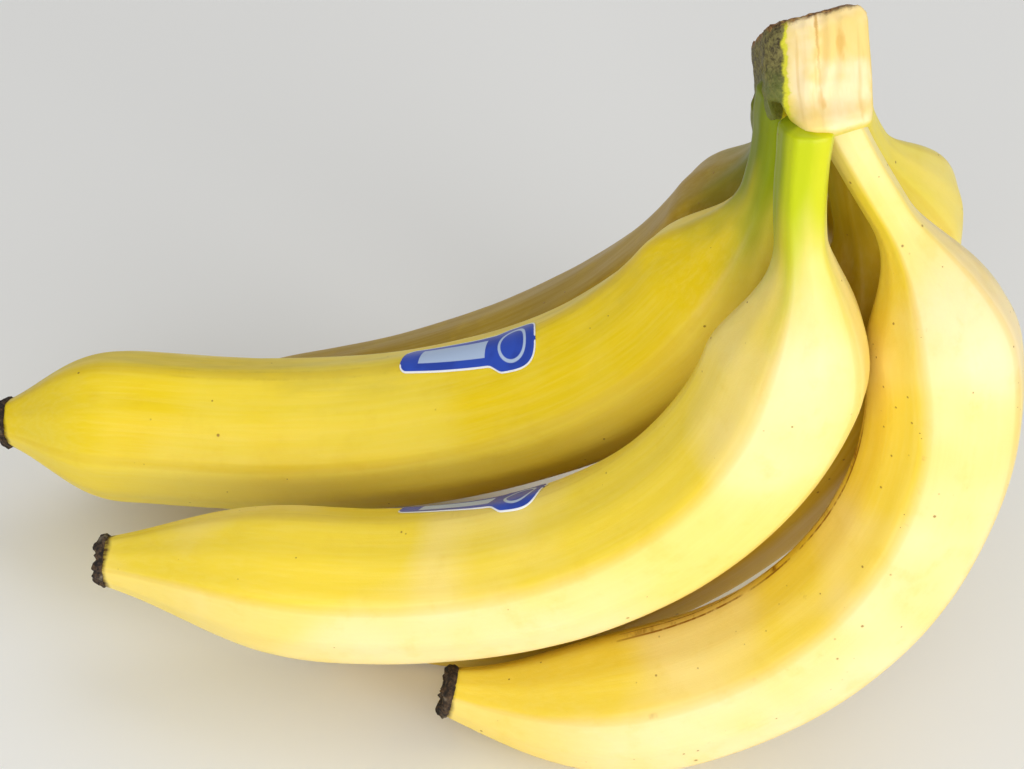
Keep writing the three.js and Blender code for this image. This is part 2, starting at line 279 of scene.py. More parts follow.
def buildSweepTree():
    tree, start, end = newGroup(
        "fingerSweep", "GeometryNodeTree",
        [("Path", "NodeSocketGeometry", None), ("Points Round", "NodeSocketInt", 96),
         ("Ridge Height", "NodeSocketFloat", 0.03), ("Ridge Sharpness", "NodeSocketFloat", 0.3),
         ("Lump Height", "NodeSocketFloat", 0.0004), ("Lump Scale", "NodeSocketFloat", 30.0),
         ("Seed", "NodeSocketFloat", 0.0), ("Skin", "NodeSocketMaterial", None)],
        [("Mesh", "NodeSocketGeometry")])
    given = start.outputs
    count = put(tree, "GeometryNodeAttributeDomainSize", {"Geometry": given["Path"]}, component="MESH")
    columns = calc(tree, "ADD", given["Points Round"], 1.0)
    grid = put(tree, "GeometryNodeMeshGrid", {"Vertices X": count, "Vertices Y": columns})
    index = put(tree, "GeometryNodeInputIndex")
    ring = calc(tree, "FLOOR", calc(tree, "DIVIDE", calc(tree, "ADD", index, 0.5), columns))
    column = calc(tree, "SUBTRACT", index, times(tree, ring, columns))
    angle = times(tree, calc(tree, "DIVIDE", column, given["Points Round"]), math.tau)

    def atRing(field, kind):
        inputs = {"Geometry": given["Path"], "Value": field, "Index": ring}
        return put(tree, "GeometryNodeSampleIndex", inputs, data_type=kind)

    def fromPath(name, kind):
        field = put(tree, "GeometryNodeInputNamedAttribute", {"Name": name}, data_type=kind)
        return atRing(field, kind)

    def store(mesh, name, value, kind):
        inputs = {"Geometry": mesh, "Name": name, "Value": value}
        return put(tree, "GeometryNodeStoreNamedAttribute", inputs, data_type=kind)

    place = atRing(put(tree, "GeometryNodeInputPosition"), "FLOAT_VECTOR")
    inside, across = fromPath("inside", "FLOAT_VECTOR"), fromPath("across", "FLOAT_VECTOR")
    girth, run = fromPath("girth", "FLOAT"), fromPath("run", "FLOAT")

    # straight is the same place on an unbent finger, where its patterns are worked out
    cos, sin = calc(tree, "COSINE", angle), calc(tree, "SINE", angle)
    straight = xyz(tree, times(tree, cos, girth), times(tree, sin, girth), run)
    seeded = vec(tree, "ADD", straight, xyz(tree, given["Seed"], given["Seed"], given["Seed"]))
    lumps = wobble(tree, noise(tree, seeded, given["Lump Scale"], 2.0), given["Lump Height"])
    lumps = times(tree, lumps, ramp(tree, girth, *sweep["lumpGirths"]))
    stretched = vec(tree, "MULTIPLY", seeded, sweep["wanderScale"])
    wander = calc(tree, "SUBTRACT", noise(tree, stretched, 1.0, 1.0), 0.5)
    turned = calc(tree, "MULTIPLY_ADD", wander, sweep["wander"], angle)
    five = calc(tree, "COSINE", times(tree, turned, 5.0))
    ten = calc(tree, "COSINE", times(tree, turned, 10.0))
    crests = calc(tree, "MULTIPLY_ADD", ten, given["Ridge Sharpness"], five)
    ridges = times(tree, crests, given["Ridge Height"])
    radius = calc(tree, "ADD", calc(tree, "MULTIPLY_ADD", girth, ridges, girth), lumps)
    out = vec(tree, "ADD", vec(tree, "SCALE", inside, scale=times(tree, radius, cos)),
              vec(tree, "SCALE", across, scale=times(tree, radius, sin)))
    moved = {"Geometry": grid, "Position": vec(tree, "ADD", place, out)}
    swept = put(tree, "GeometryNodeSetPosition", moved)
    mapped = store(swept, "straight", straight, "FLOAT_VECTOR")
    mapped = store(mapped, "ringIndex", ring, "FLOAT")
    closing = {"Geometry": mapped, "Distance": sweep["mergeDistance"]}
    merged = put(tree, "GeometryNodeMergeByDistance", closing)
    shaded = put(tree, "GeometryNodeSetShadeSmooth", {"Geometry": merged})
    realized = put(tree, "GeometryNodeRealizeInstances", {"Geometry": shaded})
    skinned = {"Geometry": realized, "Material": given["Skin"]}
    finished = put(tree, "GeometryNodeSetMaterial", skinned)
    tree.links.new(finished, end.inputs["Mesh"])
    return tree


def storeLayer(mesh, name, values):
    kind, field = ("FLOAT_VECTOR", "vector") if values.ndim == 2 else ("FLOAT", "value")
    layer = mesh.attributes.new(name, kind, "POINT")
    layer.data.foreach_set(field, values.astype(np.float32).ravel())


def pathObject(name, path):
    closed = closeEnds(path)
    count = len(closed["run"])
    mesh = bpy.data.meshes.new(name)
    mesh.from_pydata(closed["place"].tolist(), [(i, i + 1) for i in range(count - 1)], [])
    for key in ("inside", "across", "girth", "run"):
        storeLayer(mesh, key, closed[key])
    return newObject(name, mesh), closed


def sweepFinger(name, tree, values):
    item, closed = pathObject(name + "_peel", paths[name])
    modifier = item.modifiers.new("sweep", "NODES")
    modifier.node_group = tree
    for socket in tree.interface.items_tree:
        if socket.in_out == "INPUT" and socket.name in values:
            modifier[socket.identifier] = values[socket.name]
    item.update_tag()
    evaluated = item.evaluated_get(bpy.context.evaluated_depsgraph_get())
    mesh = bpy.data.meshes.new_from_object(evaluated)
    item.modifiers.clear()
    item.data = mesh
    return item, closed


# Fingers press on each other and on the table: a later finger gives way to the earlier ones.
press = {"batch": 4000, "halvings": 9, "leastShare": 0.2}  # leastShare of its radius is always left


def vertexArray(mesh):
    flat = np.zeros(len(mesh.vertices) * 3, np.float32)
    mesh.vertices.foreach_get("co", flat)
    return flat.reshape(-1, 3).astype(float)


def ringNumbers(mesh):
    flat = np.zeros(len(mesh.vertices), np.float32)
    mesh.attributes["ringIndex"].data.foreach_get("value", flat)
    return flat.astype(int)


def insideOf(points, path):
    # how deep each point lies inside a finger's skin, less than nothing outside it
    nearest = np.zeros(len(points), int)
    for start in range(0, len(points), press["batch"]):
        part = points[start:start + press["batch"]]
        gaps = ((part[:, None, :] - path["place"][None, :, :]) ** 2).sum(2)
        nearest[start:start + press["batch"]] = gaps.argmin(1)
    off = points - path["place"][nearest]
    along = path["along"][nearest]
    beside = (nearest > 0) & (nearest < len(path["run"]) - 1)  # not past an end
    off -= along * (off * along).sum(1)[:, None] * beside[:, None]
    x, y = (off * path["inside"][nearest]).sum(1), (off * path["across"][nearest]).sum(1)
    angle = np.arctan2(y, x)
    crests = np.cos(5 * angle) + bunch["sharpness"] * np.cos(10 * angle)
    radius = path["girth"][nearest] * (1 + bunch["ridge"] * crests)
    return radius + bunch["gap"] - np.linalg.norm(off, axis=1)


def pressFinger(item, closed, earlier):
    mesh = item.data
    points = vertexArray(mesh)
    ring = np.clip(ringNumbers(mesh), 0, len(closed["run"]) - 1)
    centre = closed["place"][ring]
    for path in earlier:
        deep = np.flatnonzero(insideOf(points, path) > 0)
        if not len(deep):
            continue
        spoke = points[deep] - centre[deep]
        low, high = np.zeros(len(deep)), np.ones(len(deep))
        for _ in range(press["halvings"]):
            middle = (low + high) / 2
            hit = insideOf(centre[deep] + spoke * middle[:, None], path) > 0
            high = np.where(hit, middle, high)
            low = np.where(hit, low, middle)
        points[deep] = centre[deep] + spoke * np.maximum(low, press["leastShare"])[:, None]
    points[:, 2] = np.maximum(points[:, 2], 0.0)
    mesh.vertices.foreach_set("co", points.astype(np.float32).ravel())
    mesh.attributes.remove(mesh.attributes["ringIndex"])
    mesh.update()


# The peel: distances along the finger and from its tip are in metres, angles in radians.
peel = {
    "broadScale": 22.0, "fineScale": 130.0, "fibreScale": 900.0, "grainScale": 2600.0,
    "litOutside": (1.12, 1.34),       # angles between which the painted shade inside the bend turns into painted light outside it
    "deepNearTip": (0.060, 0.012),
    "warm": tint(222, 186, 20), "fibre": tint(255, 244, 170), "crest": tint(216, 176, 10),
    "wanderScale": 90.0, "wander": 0.03, "ridgeReach": 0.004,
    "tipGreen": (0.030, 0.004),
    # a darker green painted as shade inside the bend, and a yellower green painted as light outside it
    "greenPaintedShade": tint(74, 96, 0), "greenPaintedLight": tint(222, 216, 30),
    "scuff": tint(150, 98, 14), "scuffScale": 60.0, "patchScale": 160.0,
    "lineFromMiddle": 0.0013, "lineWidth": (0.0005, 0.0001), "wornWidth": (0.0022, 0.0006),
    "scuffsStart": (0.055, 0.085), "scuffsEnd": (0.030, 0.060),
    "freckle": tint(138, 96, 30), "freckleStrength": 0.8,
    "film": tint(160, 142, 70), "filmScale": 70.0, "filmAngle": 0.5,
    "dry": tint(84, 58, 18), "dryLength": 0.0016,
    "bump": 0.25, "bumpDistance": 0.0004, "specular": 0.26,
    "subsurface": 0.12, "subsurfaceRadius": (1.0, 0.7, 0.15), "subsurfaceScale": 0.003,
    "firstSeed": 1.7, "seedStep": 3.1,
}


def buildPeelGroup():
    tree, start, end = newGroup(
        "peelPattern", "ShaderNodeTree",
        [("Straight", "NodeSocketVector", None), ("Seed", "NodeSocketFloat", 0.0),
         ("Neck", "NodeSocketFloat", 0.03), ("Total", "NodeSocketFloat", 0.24),
         ("Neck Green", "NodeSocketFloat", 0.8), ("Green Reach", "NodeSocketFloat", 0.02),
         ("Tip Green", "NodeSocketFloat", 0.2), ("Freckles", "NodeSocketFloat", 0.4),
         ("Scuffs", "NodeSocketFloat", 0.3), ("Film", "NodeSocketFloat", 0.0),
         ("Light", "NodeSocketColor", tint(246, 222, 74)), ("Deep And Shaded", "NodeSocketColor", tint(236, 196, 22)),
         ("Green", "NodeSocketColor", tint(150, 172, 10))],
        [("Color", "NodeSocketColor"), ("Roughness", "NodeSocketFloat"), ("Height", "NodeSocketFloat")])
    given = start.outputs
    seeded = vec(tree, "ADD", given["Straight"], xyz(tree, given["Seed"], given["Seed"], given["Seed"]))
    x, y, z = parts(tree, given["Straight"])
    angle = calc(tree, "ARCTAN2", y, x)
    ridge = calc(tree, "COSINE", times(tree, angle, 5.0))
    facing = calc(tree, "COSINE", angle)
    fromTip = calc(tree, "SUBTRACT", given["Total"], z)

    def stretchedNoise(stretch, scale, detail, rough=0.5):
        return noise(tree, vec(tree, "MULTIPLY", seeded, stretch), scale, detail, rough)

    broad = noise(tree, seeded, peel["broadScale"], 2.0)
    fine = noise(tree, seeded, peel["fineScale"], 4.0, 0.6)
    fibre = stretchedNoise((1.0, 1.0, 0.05), peel["fibreScale"], 3.0, 0.6)
    grain = noise(tree, seeded, peel["grainScale"], 2.0)

    # deep yellow near the tip and in random patches; inside the bend the deep yellow is painted shade, and
    # the pale outside is painted light
    litOutside = ramp(tree, calc(tree, "ABSOLUTE", angle), *peel["litOutside"])
    patchy = calc(tree, "MULTIPLY_ADD", ramp(tree, broad, 0.35, 0.68), 0.55, 0.55)
    tone = calc(tree, "SUBTRACT", patchy, times(tree, litOutside, 0.50), clamp=True)
    toTip = ramp(tree, fromTip, *peel["deepNearTip"], 0.0, 0.7)
    color = blendColor(tree, calc(tree, "MAXIMUM", tone, toTip), given["Light"], given["Deep And Shaded"])
    color = blendColor(tree, ramp(tree, fine, 0.50, 0.80, 0.0, 0.22), color, peel["warm"])
    color = blendColor(tree, ramp(tree, fibre, 0.35, 0.75, 0.0, 0.07), color, peel["fibre"])
    color = blendColor(tree, ramp(tree, ridge, 0.9, 1.0, 0.0, 0.22), color, peel["crest"])

    # green at the neck and a little at the tip, with a painted shade of darker green inside the bend and a
    # painted light of yellower green outside it
    reach = calc(tree, "ADD", given["Neck"], given["Green Reach"])
    wander = wobble(tree, stretchedNoise((1.0, 1.0, 0.3), peel["wanderScale"], 2.0), peel["wander"])
    ridgeReach = times(tree, ridge, peel["ridgeReach"])
    place = calc(tree, "SUBTRACT", calc(tree, "SUBTRACT", z, wander), ridgeReach)
    fullGreen = times(tree, given["Neck"], 0.35)
    green = times(tree, ramp(tree, place, reach, fullGreen), given["Neck Green"])
    tipPlace = ramp(tree, calc(tree, "ADD", fromTip, wander), *peel["tipGreen"])
    tipGreen = times(tree, tipPlace, given["Tip Green"])
    paintedShadeInside = ramp(tree, facing, 0.55, 0.85, 0.0, 0.55)
    greens = blendColor(tree, paintedShadeInside, given["Green"], peel["greenPaintedShade"])
    greens = blendColor(tree, ramp(tree, facing, 0.0, -0.8, 0.0, 0.5), greens, peel["greenPaintedLight"])
    color = blendColor(tree, calc(tree, "MAXIMUM", green, tipGreen), color, greens)

    # rubbed brown: two thin lines and a worn stretch on the inner ridge, less on the others
    along = stretchedNoise((0.4, 0.4, 1.0), peel["scuffScale"], 5.0, 0.7)
    crest = calc(tree, "ABSOLUTE", y)
    inner = ramp(tree, x, 0.0, 0.004)
    fromLine = calc(tree, "ABSOLUTE", calc(tree, "SUBTRACT", crest, peel["lineFromMiddle"]))
    line = times(tree, ramp(tree, fromLine, *peel["lineWidth"]), ramp(tree, along, 0.40, 0.56))
    worn = times(tree, ramp(tree, crest, *peel["wornWidth"]), ramp(tree, along, 0.54, 0.66))
    elsewhere = times(tree, ramp(tree, ridge, 0.97, 1.0), ramp(tree, along, 0.60, 0.70))
    onInner = times(tree, calc(tree, "MAXIMUM", line, worn), inner)
    rubbed = calc(tree, "MAXIMUM", onInner, times(tree, elsewhere, 0.35))
    fromNeck = ramp(tree, z, *peel["scuffsStart"])
    rubbed = times(tree, rubbed, times(tree, fromNeck, ramp(tree, fromTip, *peel["scuffsEnd"])))
    patchNoise = noise(tree, seeded, peel["patchScale"], 6.0, 0.72)
    patch = times(tree, ramp(tree, patchNoise, 0.64, 0.78), 0.3)
    most = calc(tree, "MAXIMUM", rubbed, patch)
    scuff = calc(tree, "MULTIPLY", most, given["Scuffs"], clamp=True)
    color = blendColor(tree, scuff, color, peel["scuff"])

    # small dark freckles, in some of the cells of a cell pattern
    def dots(scale, size, share):
        node = tree.nodes.new("ShaderNodeTexVoronoi")
        node.feature = "F1"
        tree.links.new(seeded, node.inputs["Vector"])
        node.inputs["Scale"].default_value = scale
        chance = put(tree, "ShaderNodeSeparateColor", {0: node.outputs["Color"]}, out=0)
        size = times(tree, put(tree, "ShaderNodeSeparateColor", {0: node.outputs["Color"]}, out=1), size)
        keep = calc(tree, "LESS_THAN", chance, times(tree, given["Freckles"], share))
        edge = calc(tree, "MULTIPLY_ADD", fine, 0.03, size)
        return times(tree, ramp(tree, node.outputs["Distance"], edge, times(tree, edge, 0.4)), keep)

    freckle = calc(tree, "MAXIMUM", dots(330.0, 0.16, 0.5), dots(150.0, 0.085, 0.35))
    color = blendColor(tree, times(tree, freckle, peel["freckleStrength"]), color, peel["freckle"])

    # a dull film where fingers were packed together
    filmFacing = calc(tree, "COSINE", calc(tree, "SUBTRACT", angle, peel["filmAngle"]))
    filmNoise = stretchedNoise((1.0, 1.0, 0.35), peel["filmScale"], 4.0, 0.6)
    film = times(tree, ramp(tree, filmFacing, 0.3, 1.0), ramp(tree, filmNoise, 0.42, 0.7))
    film = times(tree, film, given["Film"])
    color = blendColor(tree, film, color, peel["film"])

    # the skin darkens and dries just before the blossom end
    dryPlace = calc(tree, "MULTIPLY_ADD", wander, 0.2, fromTip)
    dry = ramp(tree, dryPlace, peel["dryLength"], 0.0)
    dry = times(tree, dry, ramp(tree, fibre, 0.25, 0.6, 0.4, 1.0))
    color = blendColor(tree, dry, color, peel["dry"])

    dull = times(tree, calc(tree, "ADD", scuff, film), 0.25)
    rough = calc(tree, "ADD", calc(tree, "MULTIPLY_ADD", fine, 0.16, 0.30), dull, clamp=True)
    height = calc(tree, "MULTIPLY_ADD", fibre, 0.5, times(tree, grain, 0.25))
    height = calc(tree, "MULTIPLY_ADD", fine, 0.8, height)
    height = calc(tree, "SUBTRACT", height, times(tree, calc(tree, "ADD", scuff, freckle), 0.5))
    for name, socket in (("Color", color), ("Roughness", rough), ("Height", height)):
        tree.links.new(socket, end.inputs[name])
    return tree


# Each finger's pale colour is also painted light on the outside of its bend, and its deep colour is also
# painted shade inside the bend.
peelLooks = {
    "banana_1": {"Neck Green": 0.25, "Green Reach": 0.012, "Tip Green": 0.0,
                 "Freckles": 1.0, "Scuffs": 1.0, "Film": 0.0,
                 "Light": tint(246, 225, 174), "Deep And Shaded": tint(238, 208, 66), "Green": tint(206, 206, 30)},
    "banana_2": {"Neck Green": 1.0, "Green Reach": 0.014, "Tip Green": 0.0,
                 "Freckles": 0.3, "Scuffs": 0.1, "Film": 0.05,
                 "Light": tint(247, 227, 170), "Deep And Shaded": tint(240, 211, 60), "Green": tint(184, 194, 0)},
    "banana_3": {"Neck Green": 0.95, "Green Reach": 0.020, "Tip Green": 0.0,
                 "Freckles": 0.25, "Scuffs": 0.15, "Film": 0.28,
                 "Light": tint(246, 226, 96), "Deep And Shaded": tint(238, 206, 0), "Green": tint(118, 138, 0)},
    # banana_4's colours are darker and more olive: mostly painted shade, partly its own duller skin
    "banana_4": {"Neck Green": 0.9, "Green Reach": 0.035, "Tip Green": 0.1,
                 "Freckles": 0.4, "Scuffs": 0.3, "Film": 0.12,
                 "Light": tint(188, 154, 0), "Deep And Shaded": tint(164, 130, 0), "Green": tint(106, 118, 0)},
    # banana_5's colours are darker: partly painted shade, partly its own browner skin
    "banana_5": {"Neck Green": 0.5, "Green Reach": 0.020, "Tip Green": 0.1,
                 "Freckles": 0.6, "Scuffs": 0.8, "Film": 0.5,
                 "Light": tint(214, 182, 50), "Deep And Shaded": tint(190, 148, 0), "Green": tint(140, 122, 0)},
    "banana_6": {"Neck Green": 0.35, "Green Reach": 0.020, "Tip Green": 0.0,
                 "Freckles": 0.5, "Scuffs": 0.3, "Film": 0.0,
                 "Light": tint(240, 220, 110), "Deep And Shaded": tint(236, 208, 40), "Green": tint(206, 204, 20)},
}


def peelMaterial(name, group, look, seed):
    material, tree, shader = newMaterial("peel_" + name[-1])
    node = tree.nodes.new("ShaderNodeGroup")
    node.node_tree = group
    values = {"Seed": seed, "Neck": fingers[name]["neck"], "Total": paths[name]["total"], **look}
    for key, value in values.items():
        node.inputs[key].default_value = value
    tree.links.new(named(tree, "straight", 1), node.inputs["Straight"])
    tree.links.new(node.outputs["Color"], shader.inputs["Base Color"])
    tree.links.new(node.outputs["Roughness"], shader.inputs["Roughness"])
    addBump(tree, shader, node.outputs["Height"], peel["bump"], peel["bumpDistance"])
    shader.inputs["Specular IOR Level"].default_value = peel["specular"]
    addSubsurface(shader, peel["subsurface"], peel["subsurfaceRadius"], peel["subsurfaceScale"])
    return material


sweepTree = buildSweepTree()
peelGroup = buildPeelGroup()
made = {}
for number, name in enumerate(fingers):
    seed = peel["firstSeed"] + peel["seedStep"] * number
    look = peelMaterial(name, peelGroup, peelLooks[name], seed)
    values = {"Points Round": bunch["pointsRound"], "Ridge Height": bunch["ridge"],
              "Ridge Sharpness": bunch["sharpness"], "Lump Height": sweep["lumpHeight"],
              "Lump Scale": sweep["lumpScale"], "Seed": sweep["seedStep"] * number, "Skin": look}
    item, closed = sweepFinger(name, sweepTree, values)
    pressFinger(item, closed, [paths[other] for other in list(fingers)[:number]])
    made[name] = item
    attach(item, "root")
    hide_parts(name)
print("fingers swept:", sum(len(item.data.polygons) for item in made.values()), "faces")

# The crown: a block in its own directions, right, back and up, that leans back.
crown = {
    "width": 0.0216, "height": 0.0275, "depth": 0.0655,
    "shift": (0.0018, 0.0008, -0.0013),
    "lean": 36, "tilt": 11, "topSlope": 10, "underSlope": 12,
    "skinBevel": 0.006,    # of all its corners but the front right one
    "leftRise": 0.009,     # how much shorter its front left corner is, underneath
    "lipFlare": 0.0024,    # how far the lip under the cut face stands out
    "bulge": 0.0015,       # of the old skin on its left
    "underStep": 0.006, "lip": 0.006, "lipFade": 0.016,
    "edgeRound": 0.003, "cornerRound": 0.005,
    "cornerPoints": 12, "columns": 220, "levels": 50, "capRings": 16,
    # each seam's place, width and depth
    "seams": ((-0.0010, 0.0010, 0.0010), (0.0022, 0.0008, 0.0007), (-0.0055, 0.0012, 0.0004)),
    "rough": 0.00025, "roughScale": 420, "lumps": 0.0005, "lumpScale": 90,
}


def crownAxes():
    lean, tilt = math.radians(crown["lean"]), math.radians(crown["tilt"])
    back = np.array([0, math.cos(lean), -math.sin(lean)])
    leanUp = np.array([0, math.sin(lean), math.cos(lean)])
    level = np.array([1.0, 0, 0])
    right = level * math.cos(tilt) + leanUp * math.sin(tilt)
    return right, back, leanUp * math.cos(tilt) - level * math.sin(tilt)


def crownOutline():
    x, y, bevel = crown["width"] / 2, crown["depth"] / 2, crown["skinBevel"]
    corners = np.array([[-x + bevel, -y], [x, -y], [x, y - bevel], [x - bevel, y],
                        [-x + bevel, y], [-x, y - bevel], [-x, -y + bevel]])
    points = []
    for i, corner in enumerate(corners):
        ends = []
        for other in (corners[i - 1], corners[(i + 1) % len(corners)]):
            span = np.linalg.norm(other - corner)
            ends.append(corner + (other - corner) * min(crown["edgeRound"], span / 3) / span)
        for t in np.linspace(0, 1, crown["cornerPoints"]):
            points.append((1 - t) ** 2 * ends[0] + 2 * t * (1 - t) * corner + t ** 2 * ends[1])
    points = np.array(points + [points[0]])
    steps = np.linalg.norm(np.diff(points, axis=0), axis=1)
    walked = np.concatenate([[0], np.cumsum(steps)])
    even = np.linspace(0, walked[-1], crown["columns"], endpoint=False)
    return np.stack([np.interp(even, walked, points[:, k]) for k in range(2)], axis=1)


def crownRings():
    # heights in half heights from the middle, and sizes as shares of the outline, with a cap at both ends
    heights = np.interp(np.linspace(0, 1, crown["levels"]), [0, 0.06, 0.94, 1], [-1, -0.93, 0.93, 1])
    sizes = np.interp(heights, [-1, -0.9, -0.7, -0.2, 0.8, 0.94, 1], [0.90, 0.955, 0.98, 1, 1, 0.985, 0.94])
    inner = np.linspace(0.95, 0, crown["capRings"])
    under = [(-1, sizes[0] * k) for k in inner[::-1]]
    return under + list(zip(heights, sizes)) + [(1, sizes[-1] * k) for k in inner]


def crownPoints():
    # every point as right, back and up from the crown's middle
    outline = crownOutline()
    rings = crownRings()
    half = crown["height"] / 2
    slope = math.tan(math.radians(crown["topSlope"]))
    underSlope = math.tan(math.radians(crown["underSlope"]))
    behindLip = smooth((outline[:, 1] + crown["depth"] / 2 - crown["lip"]) / crown["lipFade"])
    rise = crown["underStep"] * behindLip
    rise = rise + underSlope * np.maximum(0, outline[:, 0] - 0.002)  # the lip rises to the right
    leftFront = smooth((-outline[:, 0] - 0.0062) / 0.003) * smooth((-outline[:, 1] - 0.012) / 0.008)
    rise = rise + crown["leftRise"] * leftFront
    points = []
    for height, size in rings:
        x, y = outline[:, 0] * size, outline[:, 1] * size
        up = height * half + rise * max(0, -height) + x * slope * max(0, height)
        points.append(np.stack([x, y, up], axis=1))
    return roundTopRight(np.concatenate(points), half, slope), len(rings)


def roundTopRight(points, half, slope):
    # the top right edge is rounded off along the crown
    r = crown["cornerRound"]
    centreX = crown["width"] / 2 - r
    centreUp = half + points[:, 0] * slope - r
    dx, du = points[:, 0] - centreX, points[:, 2] - centreUp
    far = np.hypot(dx, du)
    out = (dx > 0) & (du > 0) & (far > r)
    points[out, 0] = centreX + dx[out] / far[out] * r
    points[out, 2] = centreUp[out] + du[out] / far[out] * r
    return points


def wave(points, scale, seed):  # smooth noise from a few fixed sines, from about -1 to 1
    sines, spread = 14, 5.3
    random = np.random.default_rng(seed)
    total = np.zeros(len(points))
    for _ in range(sines):
        direction = random.normal(size=3)
        direction /= np.linalg.norm(direction)
        pitch = scale * random.uniform(0.6, 1.6) * math.tau
        total += np.sin(points @ direction * pitch + random.uniform(0, math.tau))
    return total / spread


def gridFaces(rings, columns):
    i, k = np.meshgrid(np.arange(rings - 1), np.arange(columns), indexing="ij")
    a = i * columns + k
    b = i * columns + (k + 1) % columns
    return np.stack([a, b, b + columns, a + columns], axis=-1).reshape(-1, 4)


def meshFrom(name, points, faces, material, layers=None):
    mesh = bpy.data.meshes.new(name)
    mesh.from_pydata(points.tolist(), [], [list(map(int, face)) for face in faces])
    for key, values in (layers or {}).items():
        storeLayer(mesh, key, values)
    mesh.materials.append(material)
    mesh.polygons.foreach_set("use_smooth", np.ones(len(mesh.polygons), bool))
    item = newObject(name, mesh)
    work = bmesh.new()
    work.from_mesh(mesh)
    bmesh.ops.remove_doubles(work, verts=work.verts, dist=0.000003)
    bmesh.ops.recalc_face_normals(work, faces=work.faces)
    work.to_mesh(mesh)
    work.free()
    return item


def buildCrown():
    points, rings = crownPoints()
    local = points.copy()
    half = crown["height"] / 2
    x, y, up = points.T
    front = smooth((-y - crown["depth"] / 2 + 0.004) / 0.003)
    left = smooth((-x - crown["width"] / 2 + 0.0050) / 0.003)
    nearTop = smooth((up - half + 0.004) / 0.003)
    rough = wave(points, crown["roughScale"], 3) * crown["rough"] * np.clip(left + nearTop * 0.6, 0, 1)
    lumps = wave(points, crown["lumpScale"], 5) * crown["lumps"]
    for at, width, depth in crown["seams"]:  # they run down the cut face
        line = at + 0.0012 * np.sin(up * 180) + 0.02 * (half - up)
        seam = np.exp(-((x - line) / width) ** 2) * smooth((up + half * 0.75) / 0.012)
        points[:, 1] += front * seam * depth
    bulge = left * crown["bulge"] * smooth((half - up) / 0.008) * smooth((-y - 0.010) / 0.01)
    points[:, 1] -= front * crown["lipFlare"] * smooth((-up - half * 0.35) / (half * 0.6))
    size = np.linalg.norm(points[:, :2], axis=1) + 1e-9
    points[:, 0] -= bulge
    points[:, :2] += points[:, :2] / size[:, None] * (rough + lumps * (1 - front))[:, None]
    points[:, 1] += front * lumps * 0.5
    points[:, 2] += rough * 1.5
    right, back, upward = crownAxes()
    points += np.array(crown["shift"])
    world = np.array(crownMiddle) + points[:, :1] * right + points[:, 1:2] * back + points[:, 2:] * upward
    layers = {"crownPlace": local, "frontFace": front, "oldSkin": left}
    return world, gridFaces(rings, crown["columns"]), layers


crownLook = {
    "fleshPale": tint(248, 226, 176), "fleshDeep": tint(240, 208, 126), "streak": tint(236, 208, 130),
    "seam": tint(214, 172, 84), "crack": tint(196, 150, 70), "amber": tint(222, 166, 60),
    "rindYellow": tint(226, 204, 60), "rindGreen": tint(196, 190, 30), "rindEdge": tint(214, 210, 20),
    "barkDark": tint(58, 46, 16), "barkPale": tint(128, 120, 66), "barkGreen": tint(112, 124, 44),
    "driedDark": tint(96, 60, 26), "driedPale": tint(170, 126, 66),
    "driedHeights": (0.0122, 0.0136),  # above the crown's middle, square to its sloping top
}


def cutFaceColor(tree, local, x, z, fine):
    flesh = ramp(tree, noise(tree, local, 90.0, 3.0), 0.4, 0.65)
    color = blendColor(tree, flesh, crownLook["fleshPale"], crownLook["fleshDeep"])
    streak = noise(tree, vec(tree, "MULTIPLY", local, (1.0, 1.0, 0.15)), 700.0, 4.0, 0.6)
    color = blendColor(tree, ramp(tree, streak, 0.50, 0.78, 0.0, 0.35), color, crownLook["streak"])
    seams = noise(tree, vec(tree, "MULTIPLY", local, (1.0, 1.0, 0.10)), 330.0, 2.0)
    color = blendColor(tree, ramp(tree, seams, 0.62, 0.72, 0.0, 0.35), color, crownLook["seam"])
    bent = calc(tree, "ADD", x, calc(tree, "ADD", wobble(tree, fine, 0.0016), 0.0008))
    crack = ramp(tree, calc(tree, "ABSOLUTE", bent), 0.0005, 0.0001)
    crack = times(tree, crack, ramp(tree, z, 0.013, -0.006, 0.75, 0.1))
    color = blendColor(tree, crack, color, crownLook["crack"])
    spots = noise(tree, vec(tree, "MULTIPLY", local, (1.0, 1.0, 0.4)), 210.0, 3.0)
    middle = ramp(tree, calc(tree, "ABSOLUTE", calc(tree, "ADD", x, -0.002)), 0.006, 0.002)
    amber = times(tree, ramp(tree, spots, 0.60, 0.70), middle)
    return blendColor(tree, times(tree, amber, 0.5), color, crownLook["amber"]), streak


